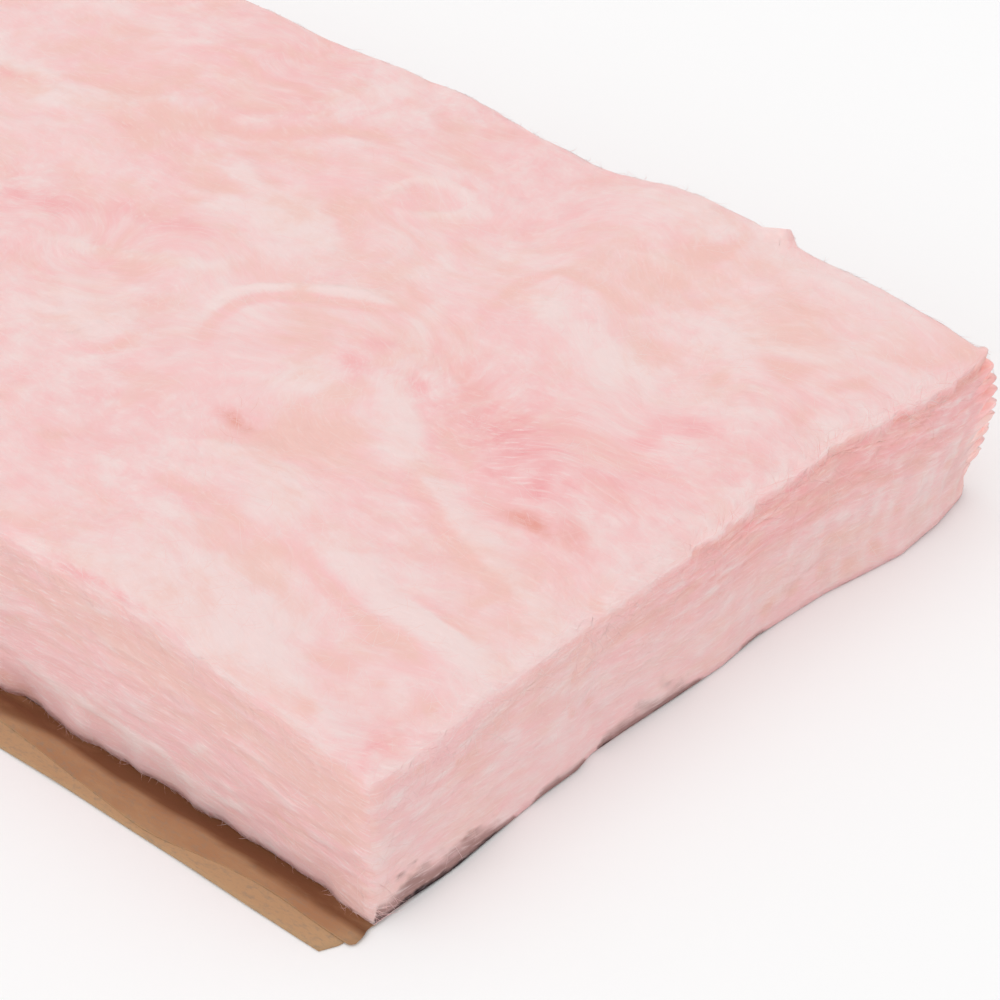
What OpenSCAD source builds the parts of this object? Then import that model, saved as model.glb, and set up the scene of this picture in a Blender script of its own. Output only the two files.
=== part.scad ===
// Kraft-faced glass wool batt for a stud wall, lying on its facing.
// X runs along the batt, Y across it and Z up. The origin is the middle of the underside.

/* [Batt] */
// Length of the batt
batt_length = 2362; // [600:1:3000]
// Width of the batt, a snug fit between two studs
batt_width = 381; // [280:1:620]
// Height of the sprung wool above the floor, facing included
batt_loft = 89; // [60:1:160]

/* [Cut ends] */
// Height that the knife leaves at a cut end
end_loft = 70; // [45:1:150]
// Distance from a cut end over which the wool springs back to its full height
end_recovery = 170; // [60:1:280]
// Radius of the soft rim around a cut end
end_rim = 7; // [2:0.5:15]

/* [Wool sides and top] */
// Radius of the long top edges
edge_radius = 14; // [5:1:25]
// How far the sides draw in at the foot and at the shoulder
side_tuck = 4; // [0:0.5:10]
// How far the sides wander along the batt
side_waver = 2; // [0:0.5:5]
// Depth of the shallow dips in the top
dip_depth = 5; // [0:0.5:10]
// Spacing of those dips along the batt
dip_pitch = 310; // [160:10:600]

/* [Kraft facing] */
// Thickness of the paper
paper_t = 0.3; // [0.2:0.05:0.6]
// Thickness of the asphalt film that bonds the wool to the paper
asphalt_t = 0.3; // [0.2:0.05:0.6]
// Air gap left between the plies of a pleat
ply_gap = 0.2; // [0.1:0.05:0.5]
// Depth of a stapling tab while it is folded away
tab_depth = 38; // [25:1:50]
// How far the pulled-out tab reaches past the foot of the wool
tab_reach = 28; // [15:1:45]
// How far the upper ply of the pulled-out tab reaches past the foot of the wool
upper_ply_reach = 13; // [5:1:20]
// Run over which the facing climbs from the floor onto a pleat
pleat_ramp = 18; // [8:1:30]

/* [Hidden] */

// How far the outer fold of the shut tab stands past the foot of the wool
fold_lip = 2;
// How far the free edge of the shut tab stays behind its outer fold
free_setback = 2;
// Room between the inner fold of a pleat and the start of the ramp
ramp_clear = 3;
// Longest step between two sections of the wool
section_pitch = 40;

// Where the sections of a soft rim lie, as shares of its radius
rim_shares = [0, 0.15, 0.5, 1];
// Where the sections of a springing end lie, as shares of its length
spring_shares = [0.3, 0.5, 0.75, 1];
// Steps of a side from foot to shoulder, of a rounded edge in angle and of the top across the batt
side_steps = 5;
edge_steps = 4;
top_steps = 12;
// Mean of the dips, and the weight of each of their two waves, as shares of their depth
dip_mean_share = 0.5;
dip_wave_share = 0.25;
// Pitch of the second wave, and the turn of each wave across the batt, as shares
second_pitch_share = 0.62;
dip_turn_shares = [0.8, -0.55];
// Pitch of the wander of the near and the far side, as shares of the dips' pitch
waver_pitch_shares = [0.85, 1.2];

// Half the width of the wool at its foot, where it is bonded
foot_half = batt_width / 2 - side_tuck;
// Middle heights of the three plies of a pleat, from the floor up
ply_pitch = paper_t + ply_gap;
low_ply_z = paper_t / 2;
mid_ply_z = low_ply_z + ply_pitch;
high_ply_z = mid_ply_z + ply_pitch;
// Paper beyond the wool's foot on each margin, and the pleat left in it once the tab is pulled out
margin_paper = fold_lip + 2 * tab_depth - free_setback;
open_pleat = (margin_paper - tab_reach) / 2;
// Distances from the middle to the folds of the pulled-out tab and of the shut tab
open_outer_fold = foot_half + upper_ply_reach;
open_inner_fold = open_outer_fold - open_pleat;
open_ramp_top = min(open_inner_fold, foot_half) - ramp_clear;
shut_outer_fold = foot_half + fold_lip;
shut_inner_fold = shut_outer_fold - tab_depth;
shut_ramp_top = shut_inner_fold - ramp_clear;

// The bonded stretch of the facing across the batt, on the middle line of the paper
panel_path = [
    [-foot_half, high_ply_z],
    [-open_ramp_top, high_ply_z],
    [-open_ramp_top + pleat_ramp, low_ply_z],
    [shut_ramp_top - pleat_ramp, low_ply_z],
    [shut_ramp_top, high_ply_z],
    [foot_half, high_ply_z]
];

// The pulled-out tab, from its free edge inwards
open_tab_path = [
    [-foot_half - tab_reach, low_ply_z],
    [-open_inner_fold, low_ply_z],
    [-open_inner_fold, mid_ply_z],
    [-open_outer_fold, mid_ply_z],
    [-open_outer_fold, high_ply_z]
];

// The shut tab, from its outer fold to its free edge
shut_tab_path = [
    [shut_outer_fold, high_ply_z],
    [shut_outer_fold, mid_ply_z],
    [shut_inner_fold, mid_ply_z],
    [shut_inner_fold, low_ply_z],
    [shut_outer_fold - free_setback, low_ply_z]
];

// The whole sheet, without the panel's two ends, which lie within straight plies
panel_last = len(panel_path) - 1;
panel_bends = [for (i = [1 : panel_last - 1]) panel_path[i]];
sheet_path = concat(open_tab_path, panel_bends, shut_tab_path);

function reversed(list) = [for (i = [len(list) - 1 : -1 : 0]) list[i]];

function left_normal(a, b) = let (d = (b - a) / norm(b - a)) [-d[1], d[0]];

// A path moved to its left by a distance, with mitred corners
function beside(path, distance) =
    let (last = len(path) - 1)
    [
        for (i = [0 : last])
            let (before = left_normal(path[max(i - 1, 0)], path[max(i, 1)]))
            let (after = left_normal(path[min(i, last - 1)], path[min(i + 1, last)]))
            path[i] + distance * (before + after) / (1 + before * after)
    ];

// The outline of a strip that lies between two distances to the left of a path
function strip(path, low, high) = concat(beside(path, low), reversed(beside(path, high)));

// Height of the sprung wool at a section, as a share of the way from the cut height to the full one
function recovery(x) =
    let (left = 1 - min(1, (batt_length / 2 - abs(x)) / end_recovery))
    1 - left * left;

function dip(x, y) =
    let (across = 360 * y / batt_width)
    let (along = 360 * x / dip_pitch)
    let (first = sin(along + dip_turn_shares[0] * across))
    let (second = sin(along / second_pitch_share + dip_turn_shares[1] * across))
    dip_depth * recovery(x) * (dip_mean_share + dip_wave_share * (first + second));

function top_height(x, y) = end_loft + (batt_loft - end_loft) * recovery(x) - dip(x, y);

// How far the rim of a cut end draws in at a section
function rim_inset(x) =
    let (short = max(0, end_rim - (batt_length / 2 - abs(x))))
    end_rim - sqrt(end_rim * end_rim - short * short);

// Half width of a side at a share of its height; the foot stays on the facing
function side_half(x, share, waver_pitch) =
    let (swell = sin(180 * share))
    let (wander = side_waver * (1 + sin(360 * x / waver_pitch)) / 2)
    foot_half + (side_tuck - wander) * swell - rim_inset(x) * share;

// One long side, from its foot up to the inner end of its rounded edge
function side_points(x, side, waver_pitch) =
    let (foot_z = high_ply_z + paper_t / 2 + asphalt_t)
    let (top_half = side_half(x, 1, waver_pitch))
    let (shoulder_z = top_height(x, side * (top_half - edge_radius)) - rim_inset(x) - edge_radius)
    concat(
        [
            for (i = [0 : side_steps])
                let (share = i / side_steps)
                [side * side_half(x, share, waver_pitch), foot_z + (shoulder_z - foot_z) * share]
        ],
        [
            for (i = [1 : edge_steps])
                let (angle = 90 * i / edge_steps)
                [
                    side * (top_half - edge_radius * (1 - cos(angle))),
                    shoulder_z + edge_radius * sin(angle)
                ]
        ]
    );

// The top between the two rounded edges
function top_points(x, near_y, far_y) = [
    for (i = [1 : top_steps - 1])
        let (y = near_y + (far_y - near_y) * i / top_steps)
        [y, top_height(x, y) - rim_inset(x)]
];

// A section of the wool, once round: near side up, over the top, far side down and back along the foot
function section(x) =
    let (near = side_points(x, -1, dip_pitch * waver_pitch_shares[0]))
    let (far = side_points(x, 1, dip_pitch * waver_pitch_shares[1]))
    let (near_y = near[len(near) - 1][0])
    let (far_y = far[len(far) - 1][0])
    let (foot = beside(panel_path, paper_t / 2 + asphalt_t))
    concat(
        near,
        top_points(x, near_y, far_y),
        reversed(far),
        [for (i = [panel_last - 1 : -1 : 1]) foot[i]]
    );

// Distances of the sections from a cut end, through its rim and its springing stretch
end_distances = concat(end_rim * rim_shares, end_recovery * spring_shares);
level_length = batt_length - 2 * end_recovery;
level_count = ceil(level_length / section_pitch);
stations = concat(
    [for (d = end_distances) d - batt_length / 2],
    [for (i = [1 : level_count - 1]) level_length * (i / level_count - 1 / 2)],
    [for (d = reversed(end_distances)) batt_length / 2 - d]
);

module glass_wool_batt() {
    rings = [for (x = stations) section(x)];
    count = len(rings[0]);
    last = len(stations) - 1;
    cap_z = end_loft / 2;
    points = concat(
        [for (s = [0 : last]) for (p = rings[s]) [stations[s], p[0], p[1]]],
        [[stations[0], 0, cap_z], [stations[last], 0, cap_z]]
    );
    back_middle = (last + 1) * count;
    front_middle = back_middle + 1;
    walls = [
        for (s = [0 : last - 1])
            for (i = [0 : count - 1])
                let (a = s * count + i)
                let (b = s * count + (i + 1) % count)
                for (triangle = [[a, b, b + count], [a, b + count, a + count]])
                    triangle
    ];
    back_cap = [for (i = [0 : count - 1]) [(i + 1) % count, i, back_middle]];
    front_cap = [for (i = [0 : count - 1]) [last * count + i, last * count + (i + 1) % count, front_middle]];
    color([0.96, 0.80, 0.79])
        polyhedron(points, concat(walls, back_cap, front_cap));
}

// Carries an outline in Y and Z along the whole batt
module along_batt() {
    rotate([90, 0, 90])
        linear_extrude(height = batt_length, center = true)
            children();
}

module asphalt_film() {
    color([0.16, 0.13, 0.14])
        along_batt()
            polygon(strip(panel_path, paper_t / 2, paper_t / 2 + asphalt_t));
}

module kraft_facing() {
    color([0.69, 0.52, 0.37])
        along_batt()
            polygon(strip(sheet_path, -paper_t / 2, paper_t / 2));
}

glass_wool_batt();
asphalt_film();
kraft_facing();
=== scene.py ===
import math
import random

import bmesh
import bpy
import numpy as np
from mathutils import Matrix, Vector, noise
from mathutils.bvhtree import BVHTree


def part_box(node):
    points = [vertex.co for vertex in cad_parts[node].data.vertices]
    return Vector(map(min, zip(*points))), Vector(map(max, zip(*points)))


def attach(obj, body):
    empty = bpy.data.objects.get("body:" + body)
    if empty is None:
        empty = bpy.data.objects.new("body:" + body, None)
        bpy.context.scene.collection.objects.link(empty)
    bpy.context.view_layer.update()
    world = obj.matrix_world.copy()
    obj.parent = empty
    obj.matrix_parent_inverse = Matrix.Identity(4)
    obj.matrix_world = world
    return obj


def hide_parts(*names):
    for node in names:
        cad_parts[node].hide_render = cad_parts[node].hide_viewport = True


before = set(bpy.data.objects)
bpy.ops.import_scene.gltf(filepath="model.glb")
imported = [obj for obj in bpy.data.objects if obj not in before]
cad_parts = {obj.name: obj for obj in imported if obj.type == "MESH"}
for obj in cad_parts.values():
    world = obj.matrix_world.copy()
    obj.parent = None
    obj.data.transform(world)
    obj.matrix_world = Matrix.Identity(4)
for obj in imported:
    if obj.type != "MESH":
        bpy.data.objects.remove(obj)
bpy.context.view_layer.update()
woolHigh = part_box("glass_wool_batt")[1]
halfLength = woolHigh.x
halfWidth = woolHigh.y
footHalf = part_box("asphalt_film")[1].y  # half width of the bonded foot of the wool
print("frame loaded")


# small helpers on arrays of points

def cloud(points, scale, octaves=3, seed=0.0):
    # fractal noise of about -1 to 1
    spots = np.asarray(points) * np.asarray(scale) + seed
    return np.array([noise.fractal(spot, 1.0, 2.0, octaves) for spot in spots.tolist()])


def smoothStep(low, high, values):
    share = np.clip((values - low) / (high - low), 0.0, 1.0)
    return share * share * (3.0 - 2.0 * share)


def bellCurve(values, width):
    return np.exp(-(values / width) ** 2)


def softProfile(points, places, spread):
    # a measured line through a few points, rounded over a spread
    marks, levels = np.array(points).T
    shifts = spread * np.array([-1.0, -0.5, 0.0, 0.5, 1.0])
    return np.mean([np.interp(places + shift, marks, levels) for shift in shifts], axis=0)


def tornEdge(places, gap, seed, tips):
    # an uneven torn line: steep steps and slow returns, 0 in its notches and up to 1 at its tips
    dice = random.Random(seed)
    marks = [places.min() - gap]
    levels = [0.0]
    while marks[-1] < places.max() + gap:
        width = gap * dice.uniform(0.3, 1.9)
        tip = dice.choice(tips) + dice.uniform(-0.06, 0.06)
        marks += [marks[-1] + width * tip, marks[-1] + width]
        levels += [dice.uniform(0.25, 1.0), dice.uniform(0.0, 0.35)]
    return softProfile(list(zip(marks, levels)), places, 0.08 * gap)


def strokeProfile(spots, path, width):
    # 1 along a drawn stroke, fading over its width and towards its two ends
    profile = np.zeros(len(spots))
    reach = 2.5 * width
    inside = np.all((spots > path.min(0) - reach) & (spots < path.max(0) + reach), axis=1)
    near = spots[inside]
    if not len(near):
        return profile
    steps = np.linalg.norm(np.diff(path, axis=0), axis=1)
    travelled = np.concatenate([[0.0], np.cumsum(steps)])
    best = np.full(len(near), 1e9)
    share = np.zeros(len(near))
    for start, end, step, before in zip(path[:-1], path[1:], steps, travelled[:-1]):
        along = np.clip(((near - start) @ (end - start)) / step ** 2, 0.0, 1.0)
        away = np.linalg.norm(near - start - along[:, None] * (end - start), axis=1)
        closer = away < best
        best[closer] = away[closer]
        share[closer] = (before + along[closer] * step) / travelled[-1]
    taper = np.sin(math.pi * (0.08 + 0.84 * share)) ** 0.7
    profile[inside] = bellCurve(best, width) * taper
    return profile


def curvedPath(path, cuts=4):
    # rounds a drawn stroke with a spline through its points
    points = [Vector((*p, 0.0)) for p in path]
    points = [2 * points[0] - points[1], *points, 2 * points[-1] - points[-2]]
    smooth = []
    for a, b, c, d in zip(points, points[1:], points[2:], points[3:]):
        for i in range(cuts):
            t = i / cuts
            bend = 2 * a - 5 * b + 4 * c - d
            twist = 3 * b - a - 3 * c + d
            smooth.append(0.5 * (2 * b + (c - a) * t + bend * t ** 2 + twist * t ** 3))
    smooth.append(points[-2])
    return np.array([p.to_2d() for p in smooth])


# materials

def newMaterial(name):
    material = bpy.data.materials.new(name)
    material.use_nodes = True
    nodes = material.node_tree.nodes
    return material, nodes, material.node_tree.links, nodes["Principled BSDF"]


def noiseNode(nodes, links, source, scale, detail, stretch, shift=(0.0, 0.0, 0.0), rough=0.55):
    mapping = nodes.new("ShaderNodeMapping")
    mapping.inputs["Location"].default_value = shift
    mapping.inputs["Scale"].default_value = stretch
    links.new(source, mapping.inputs["Vector"])
    texture = nodes.new("ShaderNodeTexNoise")
    texture.inputs["Scale"].default_value = scale
    texture.inputs["Detail"].default_value = detail
    texture.inputs["Roughness"].default_value = rough
    links.new(mapping.outputs["Vector"], texture.inputs["Vector"])
    return texture.outputs["Fac"]


def rampNode(nodes, links, source, low, high, top=1.0):
    # spreads low..high of a value over 0..top
    ramp = nodes.new("ShaderNodeMapRange")
    ramp.interpolation_type = "SMOOTHSTEP"
    ramp.inputs["From Min"].default_value = low
    ramp.inputs["From Max"].default_value = high
    ramp.inputs["To Max"].default_value = top
    links.new(source, ramp.inputs["Value"])
    return ramp.outputs["Result"]


def mathNode(nodes, links, operation, *values):
    node = nodes.new("ShaderNodeMath")
    node.operation = operation
    for socket, value in zip(node.inputs, values):
        if isinstance(value, (int, float)):
            socket.default_value = value
        else:
            links.new(value, socket)
    return node.outputs["Value"]


def mixNode(nodes, links, factor, first, second):
    node = nodes.new("ShaderNodeMix")
    node.data_type = "RGBA"
    links.new(factor, node.inputs["Factor"])
    for socket, value in zip(node.inputs[6:8], (first, second)):
        if isinstance(value, tuple):
            socket.default_value = (*value, 1.0)
        else:
            links.new(value, socket)
    return node.outputs[2]


def attributeNode(nodes, name, output="Fac"):
    node = nodes.new("ShaderNodeAttribute")
    node.attribute_name = name
    return node.outputs[output]


woolLook = dict(
    pale=(0.850, 0.668, 0.648),
    pink=(0.874, 0.540, 0.538),
    peach=(0.838, 0.537, 0.478),
    # deep pink of the wool, also laid on as painted shade under the lip of the front cut
    blushAndShade=(0.846, 0.380, 0.392),
    ember=(0.750, 0.305, 0.240),
    hair=(0.898, 0.736, 0.722),
    mauve=(0.340, 0.195, 0.180),
    stain=(0.035, 0.022, 0.024),
    scatter=(0.010, 0.006, 0.005),
)


def woolColor(nodes, links, wisp, warm):
    # pale ridges over pink wool, with peach wisps, deep pink in the hollows and dark bond coat; the deep
    # pink also carries painted shade under the lip of the front cut
    look = woolLook
    weakWisp = mathNode(nodes, links, "MULTIPLY_ADD", wisp, 0.90, -0.175)
    ridge = mathNode(nodes, links, "MULTIPLY_ADD", attributeNode(nodes, "pale"), 0.70, weakWisp)
    color = mixNode(nodes, links, rampNode(nodes, links, ridge, 0.30, 0.95), look["pink"], look["pale"])
    weakWarm = mathNode(nodes, links, "MULTIPLY_ADD", warm, 0.95, -0.125)
    warmth = mathNode(nodes, links, "MULTIPLY_ADD", attributeNode(nodes, "warm"), 0.45, weakWarm)
    color = mixNode(nodes, links, rampNode(nodes, links, warmth, 0.40, 0.80, 0.85), color, look["peach"])
    hollow = rampNode(nodes, links, wisp, 0.72, 0.30)
    flushAndShade = mathNode(nodes, links, "MULTIPLY", attributeNode(nodes, "blushAndShade"), hollow)
    color = mixNode(nodes, links, flushAndShade, color, look["blushAndShade"])
    charred = rampNode(nodes, links, warm, 0.34, 0.58)
    glow = mathNode(nodes, links, "MULTIPLY", attributeNode(nodes, "ember"), charred)
    color = mixNode(nodes, links, glow, color, look["ember"])
    patchy = mathNode(nodes, links, "MULTIPLY_ADD", warm, 1.4, 0.3)
    smear = mathNode(nodes, links, "MULTIPLY", attributeNode(nodes, "stain"), patchy)
    color = mixNode(nodes, links, rampNode(nodes, links, smear, 0.06, 0.65, 0.90), color, look["mauve"])
    return mixNode(nodes, links, rampNode(nodes, links, smear, 0.70, 1.05), color, look["stain"])


def woolMaterial():
    material, nodes, links, shader = newMaterial("glass_wool")
    combed = attributeNode(nodes, "combed", "Vector")
    strand = attributeNode(nodes, "strand")
    wisp = noiseNode(nodes, links, combed, 85.0, 6.0, (0.75, 1.0, 1.0), rough=0.66)
    warm = noiseNode(nodes, links, combed, 48.0, 6.0, (0.80, 1.0, 1.0), (3.1, 1.7, 0.0), 0.66)
    fibre = noiseNode(nodes, links, combed, 560.0, 2.0, (0.20, 1.0, 1.0), (0.3, 0.9, 0.0))
    color = woolColor(nodes, links, wisp, warm)
    hair = mathNode(nodes, links, "MULTIPLY", rampNode(nodes, links, fibre, 0.50, 0.74), strand)
    color = mixNode(nodes, links, hair, color, woolLook["hair"])
    links.new(color, shader.inputs["Base Color"])
    bump = nodes.new("ShaderNodeBump")
    bump.inputs["Strength"].default_value = 0.65
    bump.inputs["Distance"].default_value = 0.0010
    links.new(mathNode(nodes, links, "MULTIPLY_ADD", fibre, strand, wisp), bump.inputs["Height"])
    links.new(bump.outputs["Normal"], shader.inputs["Normal"])
    shader.inputs["Roughness"].default_value = 0.95
    shader.inputs["Specular IOR Level"].default_value = 0.1
    shader.inputs["Subsurface Weight"].default_value = 0.5
    shader.inputs["Subsurface Radius"].default_value = woolLook["scatter"]
    shader.inputs["Subsurface Scale"].default_value = 1.0
    shader.subsurface_method = "BURLEY"
    return material


def fibreMaterial():
    material, nodes, links, shader = newMaterial("glass_fibre")
    place = nodes.new("ShaderNodeTexCoord").outputs["Object"]
    wisp = noiseNode(nodes, links, place, 90.0, 1.0, (0.5, 1.0, 1.0))
    warm = noiseNode(nodes, links, place, 40.0, 1.0, (0.5, 1.0, 1.0), (1.3, 0.4, 0.0))
    links.new(woolColor(nodes, links, wisp, warm), shader.inputs["Base Color"])
    shader.inputs["Roughness"].default_value = 0.6
    shader.inputs["Specular IOR Level"].default_value = 0.25
    return material


kraftLook = dict(
    brown=(0.415, 0.205, 0.102),
    tan=(0.500, 0.302, 0.162),
    fleck=(0.29, 0.22, 0.16),
    # dark brown of asphalt soaked through the paper, also used as painted shade beside the wool
    soaked=(0.185, 0.068, 0.026),
)


def kraftMaterial():
    look = kraftLook
    material, nodes, links, shader = newMaterial("kraft_paper")
    place = nodes.new("ShaderNodeTexCoord").outputs["Object"]
    cloudy = noiseNode(nodes, links, place, 70.0, 5.0, (0.3, 1.0, 1.0), rough=0.62)
    fleck = noiseNode(nodes, links, place, 420.0, 4.0, (0.55, 1.0, 1.0), rough=0.7)
    grain = noiseNode(nodes, links, place, 1300.0, 1.0, (0.25, 1.0, 1.0))
    shade = mathNode(nodes, links, "MULTIPLY_ADD", attributeNode(nodes, "bare"), 0.35, cloudy)
    color = mixNode(nodes, links, rampNode(nodes, links, shade, 0.38, 0.82), look["brown"], look["tan"])
    color = mixNode(nodes, links, rampNode(nodes, links, fleck, 0.50, 0.72, 0.55), color, look["fleck"])
    color = mixNode(nodes, links, rampNode(nodes, links, grain, 0.52, 0.80, 0.40), color, look["fleck"])
    # the dark band beside the wool: partly asphalt soaked through, partly painted shade under the wool's
    # edge
    patchy = rampNode(nodes, links, cloudy, 0.05, 0.50)
    soak = mathNode(nodes, links, "MULTIPLY", attributeNode(nodes, "soaked"), patchy)
    color = mixNode(nodes, links, soak, color, look["soaked"])
    links.new(color, shader.inputs["Base Color"])
    bump = nodes.new("ShaderNodeBump")
    bump.inputs["Strength"].default_value = 0.35
    bump.inputs["Distance"].default_value = 0.0004
    links.new(mathNode(nodes, links, "ADD", fleck, grain), bump.inputs["Height"])
    links.new(bump.outputs["Normal"], shader.inputs["Normal"])
    shader.inputs["Roughness"].default_value = 0.78
    shader.inputs["Specular IOR Level"].default_value = 0.3
    return material


bondLook = dict(dark=(0.018, 0.014, 0.015), worn=(0.060, 0.045, 0.045))


def bondMaterial():
    material, nodes, links, shader = newMaterial("bond_coat")
    place = nodes.new("ShaderNodeTexCoord").outputs["Object"]
    patch = noiseNode(nodes, links, place, 60.0, 4.0, (0.6, 1.0, 1.0))
    worn = rampNode(nodes, links, patch, 0.35, 0.65)
    color = mixNode(nodes, links, worn, bondLook["dark"], bondLook["worn"])
    links.new(color, shader.inputs["Base Color"])
    links.new(rampNode(nodes, links, patch, 0.3, 0.7, 0.8), shader.inputs["Roughness"])
    return material


woolStuff = woolMaterial()
fibreStuff = fibreMaterial()
kraftStuff = kraftMaterial()
bondStuff = bondMaterial()
print("materials ready")


def finishPiece(name, mesh, material, node=None):
    mesh.materials.append(material)
    mesh.polygons.foreach_set("use_smooth", [True] * len(mesh.polygons))
    piece = bpy.data.objects.new(name, mesh)
    bpy.context.scene.collection.objects.link(piece)
    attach(piece, "root")
    if node:
        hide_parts(node)
    return piece


def keepValues(mesh, **layers):
    for name, values in layers.items():
        layer = mesh.attributes.new(name, "FLOAT", "POINT")
        layer.data.foreach_set("value", np.clip(values, 0, 1).astype(np.float32))


# the kraft facing and its bond coat: one flat sheet each, folded along the batt

kraftForm = dict(
    thickness=0.0003, plyPitch=0.0005, lengthCells=240,
    outerFold=0.1995, pleat=0.024, freeEdge=0.2145,  # the pulled-out tab, distances from the middle line
    shutFold=0.1885, shutPleat=0.038, shutFree=0.1865,  # the shut tab on the other side
    rampRun=0.018, rampClear=0.003,
    puff=0.0022, ripple=0.0008, waver=0.0015,  # how the loose plies belly, ripple and wander
    setback=0.004, bondSetback=0.007,  # how far the cut lies in under the wool
    jut=(0.0022, 0.0016, -0.0012),  # steps of the upper, middle and lower ply at the front cut
)

# the outer fold of the pulled-out tab near the front cut: distance behind the cut, step outwards
foldWander = [
    (0.000, 0.0055), (0.021, 0.0050), (0.044, 0.0030), (0.074, 0.0065), (0.100, 0.0120),
    (0.142, 0.0085), (0.195, 0.0035), (0.250, 0.0010), (0.330, 0.0030),
]

# how the knife wandered at the front cut: place across the batt, step outwards
cutWander = [
    (-0.218, -0.005), (-0.2145, -0.002), (-0.2065, 0.002), (-0.2055, 0.000), (-0.2045, 0.003),
    (-0.194, 0.002), (-0.186, 0.0035), (-0.145, 0.0035), (-0.125, 0.002), (-0.092, 0.000),
    (-0.071, 0.000), (-0.060, -0.0025), (-0.040, -0.002), (-0.010, -0.0005), (0.018, 0.0005),
    (0.043, -0.0015), (0.065, 0.000), (0.085, 0.0015), (0.107, 0.0055), (0.128, 0.009),
    (0.155, 0.008), (0.178, 0.0035), (0.187, 0.000),
]


def frontWander(along, across):
    # step of the front cut, dying out behind it
    places, steps = np.array(cutWander).T
    return np.interp(across, places, steps) * bellCurve(halfLength - along, 0.06)


def setBack(along, across):
    # draws the cut of the facing in under the wool, and rounds its far corner as the wool is
    nearCut = bellCurve(halfLength - along, 0.02)
    underWool = smoothStep(-0.190, -0.184, across)
    farCorner = smoothStep(0.172, 0.1865, across)
    return nearCut * underWool * (1 + 1.5 * farCorner)


def panelPath(form):
    # heights of the paper's middle line under the wool: up on a pleat at each side
    low = form["thickness"] / 2
    high = low + 2 * form["plyPitch"]
    nearTop = form["outerFold"] - form["pleat"] - form["rampClear"]
    farTop = form["shutFold"] - form["shutPleat"] - form["rampClear"]
    places = [-nearTop, -nearTop + form["rampRun"], farTop - form["rampRun"], farTop]
    return places, [high, low, low, high]


def foldStations(form, wander):
    # the sheet's stations across, from the free edge of the pulled-out tab: place, height and ply
    low = form["thickness"] / 2
    mid = low + form["plyPitch"]
    high = mid + form["plyPitch"]
    nose = form["plyPitch"] / 2
    outer = -form["outerFold"] - wander
    inner = outer + form["pleat"]
    free = -form["freeEdge"]
    shut = form["shutFold"]
    tuck = shut - form["shutPleat"]
    places, heights = panelPath(form)
    stations = []

    def run(start, end, height, count, ply):
        for share in np.linspace(0.0, 1.0, count):
            stations.append((start + (end - start) * share, np.full_like(wander, height), ply))

    def turn(place, below, above, side, ply):
        for angle in (-45.0, 0.0, 45.0):
            lean = math.radians(angle)
            height = (below + above) / 2 + nose * math.sin(lean) * np.sign(above - below)
            stations.append((place + side * nose * math.cos(lean), np.full_like(wander, height), ply))

    run(free + 0 * wander, inner, low, 15, "lower")
    turn(inner, low, mid, 1, "inner")
    run(inner, outer, mid, 8, "middle")
    turn(outer, mid, high, -1, "middle")
    run(outer, -footHalf + 0 * wander, high, 12, "upper")
    ledge = np.linspace(-footHalf, places[0], 6)[:-1]
    fall = np.linspace(places[0], places[1], 5)[:-1]
    flat = np.linspace(places[1], places[2], 14)
    climb = np.linspace(places[2], places[3], 5)[1:]
    for place in np.concatenate([ledge, fall, flat, climb]):
        height = np.interp(place, places, heights)
        stations.append((np.full_like(wander, place), np.full_like(wander, height), "panel"))
    run(0 * wander + places[3] + 0.004, 0 * wander + shut, high, 4, "shut")
    turn(shut + 0 * wander, high, mid, 1, "shut")
    run(shut + 0 * wander, tuck + 0 * wander, mid, 4, "shut")
    turn(tuck + 0 * wander, mid, low, -1, "shut")
    run(tuck + 0 * wander, form["shutFree"] + 0 * wander, low, 4, "shut")
    return stations


def sheetGrid(name, columns, rows):
    # a flat grid to fold: columns along the batt, rows across it
    bm = bmesh.new()
    bmesh.ops.create_grid(bm, x_segments=columns, y_segments=rows, size=1.0)
    mesh = bpy.data.meshes.new(name)
    bm.to_mesh(mesh)
    bm.free()
    flat = np.empty(3 * len(mesh.vertices))
    mesh.vertices.foreach_get("co", flat)
    flat = flat.reshape(-1, 3)
    column = np.rint((flat[:, 0] + 1) / 2 * columns).astype(int)
    row = np.rint((flat[:, 1] + 1) / 2 * rows).astype(int)
    return mesh, column, row


def thicken(piece, thickness):
    solid = piece.modifiers.new("thickness", "SOLIDIFY")
    solid.thickness = thickness
    solid.offset = 0.0


def alongMarks(count):
    # places along the batt, closer together towards the front cut
    share = np.linspace(0.0, 1.0, count + 1)
    return halfLength * (2 * share ** 0.55 - 1)


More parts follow.
